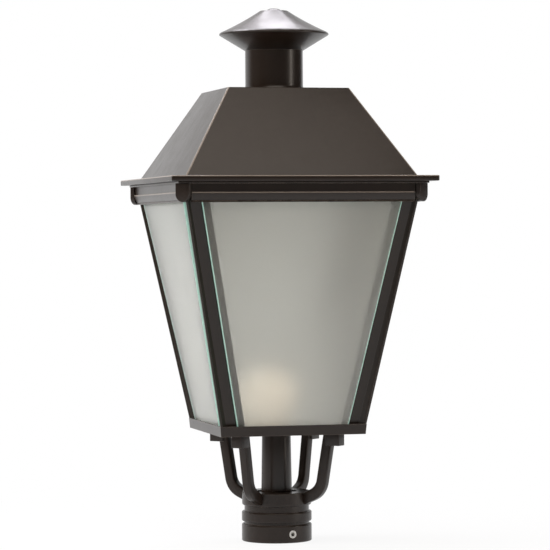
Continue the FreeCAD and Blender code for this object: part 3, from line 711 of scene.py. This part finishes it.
class Shell:
    """Points and faces of one piece, in millimetres, with a finish number for each face."""

    def __init__(self) -> None:
        """Start with no points."""
        self.points: list[Place] = []
        self.faces: list[list[int]] = []
        self.kinds: list[int] = []

    def ring(self, points: Sequence[Place]) -> list[int]:
        """Add a ring of points.

        Args:
            points: The places, in order.

        Returns:
            Their numbers.
        """
        first = len(self.points)
        self.points.extend(tuple(point) for point in points)
        return list(range(first, len(self.points)))

    def band(self, low: Sequence[int], high: Sequence[int], kinds: Sequence[int] = (0,)) -> None:
        """Join two closed rings of equal count.

        Args:
            low: The first ring.
            high: The second ring.
            kinds: Finish numbers, repeated round the ring.
        """
        count = len(low)
        for k in range(count):
            after = (k + 1) % count
            self.faces.append([low[k], low[after], high[after], high[k]])
            self.kinds.append(kinds[k % len(kinds)])

    def cap(self, ring: Sequence[int], kind: int = 0) -> None:
        """Close a ring with one face."""
        self.faces.append(list(ring))
        self.kinds.append(kind)

    def skin(self, sections: Sequence[Sequence[Place]], kinds: Sequence[int] = (0,),
             cap_kind: int = 0) -> None:
        """Skin a row of equal sections and close both ends.

        Args:
            sections: Closed rings of places.
            kinds: Finish numbers round each ring.
            cap_kind: The ends' finish number.
        """
        rings = [self.ring(section) for section in sections]
        for low, high in zip(rings, rings[1:]):
            self.band(low, high, kinds)
        self.cap(rings[0], cap_kind)
        self.cap(rings[-1], cap_kind)

    def lathe(self, profile: Sequence[Point], steps: int = 144) -> None:
        """Turn a closed profile round the Z axis.

        Args:
            profile: Radius and height of each point.
            steps: Sides of the turned piece.
        """
        turns = [2 * math.pi * k / steps for k in range(steps)]
        spans = [(math.cos(turn), math.sin(turn)) for turn in turns]
        rings = [self.ring([(radius * x, radius * y, height) for x, y in spans])
                 for radius, height in profile]
        for k in range(len(rings)):
            self.band(rings[k - 1], rings[k])

    def square_lathe(self, profile: Sequence[Place], steps: int = 6, hips: int = 0,
                     rims: Sequence[int] = ()) -> None:
        """Take a closed profile round a square.

        Args:
            profile: Half width, height and corner radius of each point; a corner radius equal to
                the half width makes a circle.
            steps: Sides of each rounded corner.
            hips: Finish number of the rounded corners.
            rims: Points of the profile whose band before them has finish 1 all round.
        """
        rings = [self.ring([(x, y, height) for x, y in self.rounded_square(half, corner, steps)])
                 for half, height, corner in profile]
        for k in range(len(rings)):
            self.band(rings[k - 1], rings[k], (1,) if k in rims else (hips,) * steps + (0,))

    @staticmethod
    def rounded_square(half: float, corner: float, steps: int) -> list[Point]:
        """Outline of a square with rounded corners.

        Args:
            half: Half of the square's width.
            corner: Radius of its corners.
            steps: Sides of each corner.

        Returns:
            The outline's points.
        """
        flat = half - corner
        outline: list[Point] = []
        for quarter, (x, y) in enumerate(((1, 1), (-1, 1), (-1, -1), (1, -1))):
            outline += arc((x * flat, y * flat), corner, 90 * quarter, 90 * quarter + 90, steps)
        return outline

    def slab(self, outline: Sequence[Point], near: float, far: float, rounding: float,
             place: Callable[[float, float, float], Place], steps: int = 3,
             kinds: Sequence[int] = (0,)) -> None:
        """A plate with softened rims.

        Args:
            outline: The plate's outline.
            near: Depth of its first face.
            far: Depth of its second face.
            rounding: Rounding of its rims.
            place: Turns (across, up, depth) into a place.
            steps: Sides of each rim's rounding.
            kinds: Finish numbers round the outline.
        """
        rims = []
        for step in range(steps + 1):
            turn = math.radians(90 * step / steps)
            rims.append((rounding * (1 - math.sin(turn)), rounding * (1 - math.cos(turn))))
        rows = [(near + depth, shift) for shift, depth in rims]
        rows += [(far - depth, shift) for shift, depth in reversed(rims)]
        self.skin([[place(x, y, depth) for x, y in inset(outline, shift)] for depth, shift in rows], kinds)

    def piece(self, name: str, angle: float = 0.0, sharp: float = 32.0) -> bpy.types.Object:
        """Make the object.

        Args:
            name: The object's name.
            angle: Its turn round the Z axis, in degrees, put into its points.
            sharp: Edges that turn more than this many degrees stay sharp.

        Returns:
            The new object, in metres.
        """
        mesh = bpy.data.meshes.new(name)
        mesh.from_pydata([tuple(MM * value for value in point) for point in self.points], [], self.faces)
        mesh.polygons.foreach_set("material_index", self.kinds)
        mesh.transform(Matrix.Rotation(math.radians(angle), 4, "Z"))
        work = bmesh.new()
        work.from_mesh(mesh)
        bmesh.ops.remove_doubles(work, verts=work.verts, dist=MERGE)
        bmesh.ops.recalc_face_normals(work, faces=work.faces)
        work.to_mesh(mesh)
        work.free()
        mesh.shade_smooth()
        mesh.set_sharp_from_angle(angle=math.radians(sharp))
        piece = bpy.data.objects.new(name, mesh)
        bpy.context.scene.collection.objects.link(piece)
        return piece


# ---------------------------------------------------------------- sizes up the lantern
@dataclass(frozen=True)
class Levels:
    """Heights of the lantern's storeys above the collar's open edge, in millimetres."""

    floor: float = 168.1
    glass_low: float = 183.5
    glass_high: float = 518.0
    ring_low: float = 545.6
    ring_top: float = 548.6
    flange_top: float = 557.0
    roof_top: float = 691.2
    neck_top: float = 752.0
    rim_low: float = 775.0
    rim_high: float = 779.0
    crown: float = 813.0

    def leaning(self, low: float, high: float, level: float) -> float:
        """Half width at a level, on the line through the glazing's bottom and top."""
        return low + (high - low) * (level - self.glass_low) / (self.glass_high - self.glass_low)


LEVELS = Levels()


class SubAssembly:
    """Pieces that are built together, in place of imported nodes."""

    def keep(self, wardrobe: Wardrobe, piece: bpy.types.Object, node: str, *finishes: Finish) -> None:
        """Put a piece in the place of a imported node.

        Args:
            wardrobe: Where the finishes come from.
            piece: The new piece.
            node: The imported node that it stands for.
            finishes: Its finishes, by face number.
        """
        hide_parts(node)
        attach(piece, LANTERN)
        wardrobe.dress(piece, *finishes)
        log.info("%s stands for %s with %d faces", piece.name, node, len(piece.data.polygons))


# ---------------------------------------------------------------- support
@dataclass
class Support(SubAssembly):
    """Wire tube and four cast arms."""

    tube_foot: float = 23.6
    tube_head: float = 22.0
    tube_wall: float = 3.5
    tube_seat: float = 73.5
    tube_edge: float = 0.6
    width: float = 13.0
    depth: float = 17.0
    head: float = 95.3
    lean: float = math.tan(math.radians(9.9))
    root: float = 51.0
    root_low: float = 56.4
    root_high: float = 75.0
    bend_out: Point = (72.0, 36.0)
    bend_in: Point = (86.0, 20.0)
    rounding: float = 2.6
    lug_reach: float = 116.0
    lug_length: float = 24.0
    lug_width: float = 18.0
    lug_height: float = 19.2
    lug_round: float = 1.6
    head_gap: float = 0.5

    def build(self, wardrobe: Wardrobe) -> None:
        """Build the tube and the arms.

        Args:
            wardrobe: Where the finishes come from.
        """
        tube = Shell()
        seat, wall = self.tube_seat, self.tube_wall
        tube.lathe(soften([(self.tube_foot - wall, seat), (self.tube_foot, seat),
                           (self.tube_head, LEVELS.floor), (self.tube_head - wall, LEVELS.floor)],
                          self.tube_edge))
        self.keep(wardrobe, tube.piece("drawn_wire_tube"), "wire_tube", Finish.SHEET)
        for name, angle in CORNERS.items():
            arm = Shell()
            flank = self.width / 2
            arm.slab(self.side(), -flank, flank, self.rounding, lambda x, z, y: (x, y, z), steps=5)
            low, high = LEVELS.floor - self.lug_height, LEVELS.floor
            near, far, half = self.lug_reach - self.lug_length, self.lug_reach, self.lug_width / 2
            plan = soften([(near, -half), (far, -half), (far, half), (near, half)], self.lug_round)
            arm.slab(plan, low, high, self.lug_round / 2, lambda x, y, z: (x, y, z))
            piece = arm.piece(f"cast_arm_{name}", angle + DIAGONAL)
            self.keep(wardrobe, piece, f"support_arm_{name}", Finish.CAST)

    def side(self) -> list[Point]:
        """Outline of an arm from the side, with both of its bends.

        Returns:
            The outline's points.
        """
        low = LEVELS.floor - self.lug_height
        far, near = self.head + self.depth / 2, self.head - self.depth / 2
        out_level, out_radius = self.bend_out
        in_level, in_radius = self.bend_in
        outer = (far - self.lean * (LEVELS.floor - out_level), out_level)
        inner = (near - self.lean * (LEVELS.floor - in_level), in_level)
        root_low, root_high = (self.root, self.root_low), (self.root, self.root_high)
        head_out = (far - self.lean * self.lug_height / 2, low + self.lug_height / 2)
        head_in = (near, LEVELS.floor - self.head_gap)
        return ([root_low] + self.bend(root_low, outer, head_out, out_radius) + [head_out, head_in]
                + self.bend(head_in, inner, root_high, in_radius) + [root_high])

    @staticmethod
    def bend(before: Point, corner: Point, after: Point, radius: float, steps: int = 14) -> list[Point]:
        """True arc of a radius in place of a corner.

        Args:
            before: The point before the corner.
            corner: The corner.
            after: The point after it.
            radius: The arc's radius.
            steps: Sides of the arc.

        Returns:
            The arc's points, from the side of before to the side of after.
        """
        here = Vector(corner)
        back, ahead = (Vector(before) - here).normalized(), (Vector(after) - here).normalized()
        half = back.angle(ahead) / 2
        centre = here + (back + ahead).normalized() * radius / math.sin(half)
        start = here + back * radius / math.tan(half) - centre
        sweep = math.pi - 2 * half
        turn = sweep if back.x * ahead.y - back.y * ahead.x < 0 else -sweep
        points = []
        for step in range(steps + 1):
            angle = turn * step / steps
            points.append((centre.x + start.x * math.cos(angle) - start.y * math.sin(angle),
                           centre.y + start.x * math.sin(angle) + start.y * math.cos(angle)))
        return points


# ---------------------------------------------------------------- glazing
@dataclass
class Glazing(SubAssembly):
    """Corner bars, each with its bead on a diagonal web, and etched panes."""

    bead_low: float = 112.9
    bead_high: float = 176.4
    bead_width: float = 3.2
    leg_width: float = 31.0
    leg_thick: float = 3.0
    lip_depth: float = 15.0
    web: float = 2.0
    fold: float = 0.7
    glass_low: float = 109.6
    glass_high: float = 175.8
    glass_thick: float = 5.1
    corner_gap: float = 23.5
    pane_foot: float = 178.5
    pane_head: float = 530.0
    arris: float = 0.6
    rim: float = 0.5
    sharp: float = 60.0

    def build(self, wardrobe: Wardrobe) -> None:
        """Build the bars and the panes.

        Args:
            wardrobe: Where the finishes come from.
        """
        for name, angle in CORNERS.items():
            bar = Shell()
            bar.skin([self.section(level) for level in (LEVELS.glass_low, LEVELS.ring_low)])
            self.keep(wardrobe, bar.piece(f"folded_bar_{name}", angle), f"corner_bar_{name}", Finish.SHEET)
        for name, angle in SIDES.items():
            pane = Shell()
            levels = [(self.pane_foot, self.arris), (self.pane_foot + self.arris, 0.0),
                      (self.pane_head - self.arris, 0.0), (self.pane_head, self.arris)]
            # The panes' cut edges take finish 1, whose emission is a painted glow.
            cut_edge_then_face = (1, 1, 1, 1, 0)
            pane.skin([self.slice(level, shift) for level, shift in levels], cut_edge_then_face * 2,
                      cap_kind=1)
            piece = pane.piece(f"etched_pane_{name}", angle, self.sharp)
            self.keep(wardrobe, piece, f"glass_pane_{name}", Finish.GLASS, Finish.EDGE)

    def section(self, level: float) -> list[Place]:
        """Section of a bar: rounded bead, two legs and their lips.

        Args:
            level: The section's height.

        Returns:
            The section's places.
        """
        bead = LEVELS.leaning(self.bead_low, self.bead_high, level)
        leg = LEVELS.leaning(self.glass_low, self.glass_high, level) - self.glass_thick
        edge, inner, lip = bead - self.bead_width, leg - self.leg_thick, leg - self.leg_width
        lip_end, lip_inner = leg - self.lip_depth, lip + self.leg_thick
        half = [(edge, bead), (edge, edge + self.web), (leg - self.web, leg), (lip, leg),
                (lip, lip_end), (lip_inner, lip_end), (lip_inner, inner)]
        outline = half + [(inner, inner)] + [(y, x) for x, y in reversed(half)]
        return [(x, y, level) for x, y in soften(outline + [(bead, bead)], self.fold)]

    def slice(self, level: float, shift: float) -> list[Place]:
        """Section of a pane at a level, with its ground arrises.

        Args:
            level: The section's height.
            shift: How far the outer faces are drawn in.

        Returns:
            Ten places.
        """
        face = LEVELS.leaning(self.glass_low, self.glass_high, level)
        half, near, far = face - self.corner_gap - shift, face - self.glass_thick + shift, face - shift
        cut, rim = self.arris, self.arris + self.rim
        return [(half - rim, far, level), (half - cut, far, level), (half, far - cut, level),
                (half, near + cut, level), (half - cut, near, level), (cut - half, near, level),
                (-half, near + cut, level), (-half, far - cut, level), (cut - half, far, level),
                (rim - half, far, level)]


# ---------------------------------------------------------------- cornice
@dataclass
class Cornice(SubAssembly):
    """Moulded rails, corner blocks and the flat ring above them."""

    half: float = 185.2
    ledge: float = 1.8
    ledge_drop: float = 12.4
    lip_half: float = 181.5
    lip: float = 2.2
    lip_inner: float = 177.6
    wall: float = 3.6
    rail_half: float = 169.8
    rail_edge: float = 0.2
    edge: float = 0.5
    swell_steps: int = 12
    block_back: float = 252.5
    block_front: float = 260.5
    block_half: float = 12.0
    block_round: float = 1.3
    ring_half: float = 190.6
    ring_open: float = 148.0
    ring_edge: float = 0.6
    ring_corner: float = 1.0

    def build(self, wardrobe: Wardrobe) -> None:
        """Build rails, blocks and ring.

        Args:
            wardrobe: Where the finishes come from.
        """
        for name, angle in SIDES.items():
            rail = Shell()
            profile = self.profile()
            # The ledge's outer face and rounded edge wear the lighter coat as a painted highlight.
            painted_highlight_faces = (len(profile) - 5, len(profile) - 4)
            kinds = [1 if k in painted_highlight_faces else 0 for k in range(len(profile))]
            half = self.rail_half
            rail.slab(profile, -half, half, self.rail_edge, lambda y, z, x: (x, y, z), steps=1, kinds=kinds)
            piece = rail.piece(f"moulded_rail_{name}", angle)
            self.keep(wardrobe, piece, f"cornice_rail_{name}", Finish.SHEET, Finish.PAINTED_HIGHLIGHT)
        foot = LEVELS.glass_high + self.block_half
        face = arc((0.0, foot), self.block_half, 180, 360, steps=28)
        face += [(self.block_half, LEVELS.ring_low), (-self.block_half, LEVELS.ring_low)]
        for name, angle in CORNERS.items():
            block = Shell()
            back, front = self.block_back, self.block_front
            block.slab(face, back, front, self.block_round, lambda y, z, x: (x, y, z), steps=5)
            piece = block.piece(f"cast_block_{name}", angle + DIAGONAL)
            self.keep(wardrobe, piece, f"corner_block_{name}", Finish.CAST)
        ring = Shell()
        outline = soften([(self.ring_open, LEVELS.ring_low), (self.ring_half, LEVELS.ring_low),
                          (self.ring_half, LEVELS.ring_top), (self.ring_open, LEVELS.ring_top)],
                         self.ring_edge)
        ring.square_lathe([(half, level, self.ring_corner) for half, level in outline])
        self.keep(wardrobe, ring.piece("plasma_cut_ring"), "top_ring", Finish.SHEET)

    def profile(self) -> list[Point]:
        """Section of a rail: flat band, ledge, quarter round and bottom lip.

        Returns:
            The outline's points.
        """
        ledge = LEVELS.ring_low - self.ledge_drop
        lip_top = LEVELS.glass_high + self.lip
        low = ledge - self.ledge
        inner, outer = self.half - self.wall, self.half + self.ledge
        foot = self.lip_half + self.ledge / 2
        curve = []
        for step in range(self.swell_steps + 1):
            share = step / self.swell_steps
            swell = (outer - self.lip_half) * math.sin(share * math.pi / 2)
            curve.append((self.lip_half + swell, lip_top + (low - lip_top) * share))
        back = [(inner, LEVELS.ring_low), (inner, low), (self.lip_inner, lip_top),
                (self.lip_inner, LEVELS.glass_high)]
        lip = [(foot, LEVELS.glass_high), (foot, lip_top)]
        band = [(outer, ledge - self.edge), (outer - self.edge, ledge), (self.half, ledge),
                (self.half, LEVELS.ring_low)]
        return back + lip + curve + band


# ---------------------------------------------------------------- roof
@dataclass
class Roof(SubAssembly):
    """Overhanging flange and the four-sided shell with rolled hips."""

    flange_half: float = 202.9
    flange_open: float = 168.0
    flange_round: float = 1.5
    flange_corner: float = 2.2
    low_half: float = 176.8
    high_half: float = 93.9
    hip: float = 2.4
    wall: float = 2.4
    shoulder: float = 1.6
    shoulder_steps: int = 5
    shelf: float = 40.0
    hole: float = 36.2

    def build(self, wardrobe: Wardrobe) -> None:
        """Build flange and shell.

        Args:
            wardrobe: Where the finishes come from.
        """
        flange = Shell()
        outline = soften([(self.flange_open, LEVELS.ring_top), (self.flange_half, LEVELS.ring_top),
                          (self.flange_half, LEVELS.flange_top), (self.flange_open, LEVELS.flange_top)],
                         self.flange_round)
        corner_points = SOFT_STEPS + 1
        top_edge = range(2 * corner_points + 1, 3 * corner_points)
        # The flange's rounded top edge wears the lighter coat as a painted highlight.
        flange.square_lathe([(half, level, self.flange_corner) for half, level in outline], rims=top_edge)
        self.keep(wardrobe, flange.piece("rolled_roof_flange"), "roof_flange", Finish.SHEET, Finish.PAINTED_HIGHLIGHT)
        shell = Shell()
        low, high, wall = LEVELS.flange_top, LEVELS.roof_top, self.wall
        slope = [(self.low_half, low), (self.high_half, high), (self.high_half - self.shelf, high)]
        corner_points = self.shoulder_steps + 1
        outer = soften(slope, self.shoulder, self.shoulder_steps)[corner_points:2 * corner_points]
        profile = [(self.low_half, low, self.hip)] + [(half, level, self.hip) for half, level in outer]
        profile += [(self.hole, high, self.hole), (self.hole, high - wall, self.hole),
                    (self.high_half - wall, high - wall, self.hip), (self.low_half - wall, low, self.hip)]
        # The rounded hips wear the lighter coat as a painted highlight.
        shell.square_lathe(profile, steps=8, hips=1)
        self.keep(wardrobe, shell.piece("folded_roof_shell"), "roof_shell", Finish.SHEET, Finish.PAINTED_HIGHLIGHT)


# ---------------------------------------------------------------- chimney
@dataclass
class Chimney(SubAssembly):
    """Neck with its flared foot, spun vent cap and domed nut."""

    neck: float = 44.3
    wall: float = 2.5
    foot: float = 2.4
    flare: float = 9.0
    edge: float = 0.6
    cap: float = 84.0
    crown: float = 21.2
    sweep: float = 420.0
    rod: float = 4.0
    button: float = 13.0
    button_high: float = 4.2
    button_hole: float = 0.2
    button_crown: float = 89.0
    flare_steps: int = 8
    flare_power: float = 1.6
    cone_foot: float = 0.5
    rim_round: float = 2.1
    rim_turn: float = 70.0
    rim_start: float = 2.0
    rim_rise: float = 0.8
    rim_inside: float = 8.0
    sweep_steps: int = 24

    def build(self, wardrobe: Wardrobe) -> None:
        """Build neck, cap and nut.

        Args:
            wardrobe: Where the finishes come from.
        """
        low, high = LEVELS.roof_top, LEVELS.neck_top
        inner = self.neck - self.wall
        rise = []
        for step in range(self.flare_steps + 1):
            share = step / self.flare_steps
            spread = (1 - math.sin(math.pi / 2 * share)) ** self.flare_power
            rise.append((self.neck + self.foot * spread, low + self.edge + self.flare * share))
        neck = Shell()
        foot, head = [(inner, low), (self.neck + self.foot, low)], [(self.neck, high), (inner, high)]
        neck.lathe(foot + rise + head)
        self.keep(wardrobe, neck.piece("spun_neck"), "chimney_neck", Finish.SHEET)
        cap = Shell()
        cap.lathe(self.cap_profile())
        self.keep(wardrobe, cap.piece("spun_vent_cap"), "vent_cap", Finish.SHEET)
        button = Shell()
        sphere = (self.button ** 2 + self.button_high ** 2) / (2 * self.button_high)
        reach = math.degrees(math.asin(self.button / sphere))
        middle, seat = LEVELS.crown + self.button_high / 2, LEVELS.crown
        dome = arc((0.0, seat + self.button_high - sphere), sphere, 90 - reach, self.button_crown, steps=14)
        button.lathe([(self.button_hole, middle), (self.rod, middle), (self.rod, seat)] + dome, steps=96)
        self.keep(wardrobe, button.piece("domed_cap_nut"), "cap_nut", Finish.SHEET)

    def cap_profile(self) -> list[Point]:
        """Section of the cap: inverted cone, rolled rim and hollow-swept upper cone.

        Returns:
            The outline's points.
        """
        rim_low, rim_high, crown = LEVELS.rim_low, LEVELS.rim_high, LEVELS.crown
        middle = (rim_low + rim_high) / 2
        rim = arc((self.cap - self.rim_round, middle), self.rim_round, -self.rim_turn, self.rim_turn,
                  steps=12)
        start = Vector((self.cap - self.rim_start, rim_high + self.rim_rise))
        chord = Vector((self.crown, crown)) - start
        side = Vector((-chord.y, chord.x)).normalized()
        sagitta = self.sweep - math.sqrt(self.sweep ** 2 - (chord.length / 2) ** 2)
        slope = []
        for step in range(self.sweep_steps + 1):
            share = step / self.sweep_steps
            slope.append(tuple(start + chord * share + side * sagitta * (1 - (2 * share - 1) ** 2)))
        inside = self.cap - self.rim_inside
        cone = [(self.neck - self.wall, LEVELS.neck_top), (self.neck + self.cone_foot, LEVELS.neck_top)]
        lining = [(self.rod, crown), (self.rod, crown - self.wall), (self.crown, crown - self.wall),
                  (inside, rim_high), (inside, rim_low)]
        return cone + rim + slope + lining


# ---------------------------------------------------------------- carried over pieces
CARRIED = {
    Finish.CAST: ["post_collar"],
    Finish.SHEET: ["floor_plate", "bottom_frame"],
    Finish.STAINLESS: [f"clamp_screw_{number}" for number in (1, 2, 3)],
    Finish.ZINC: ["arm_screws", "roof_strap", "roof_rod", "roof_rod_nuts", "pane_clips"],
    Finish.RUBBER: ["pane_seat_strips"],
    Finish.CERAMIC: ["lamp_holder"],
    Finish.BRASS: ["lamp_base"],
    Finish.OPAL: ["lamp_globe"],
    Finish.PLASTIC: ["terminal_block"],
}


def dress_carried(wardrobe: Wardrobe) -> None:
    """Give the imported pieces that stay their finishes.

    Args:
        wardrobe: Where the finishes come from.
    """
    for finish, names in CARRIED.items():
        for name in names:
            wardrobe.dress(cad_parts[name], finish)
            log.info("%s wears %s", name, finish.value.name)


def main() -> None:
    """Build the studio and the lantern's pieces in order."""
    logging.basicConfig(level=logging.INFO, format="%(message)s")
    wardrobe = Wardrobe()
    Studio().build(wardrobe)
    dress_carried(wardrobe)
    for part in (Support(), Glazing(), Cornice(), Roof(), Chimney()):
        part.build(wardrobe)


if __name__ == "__main__":
    main()
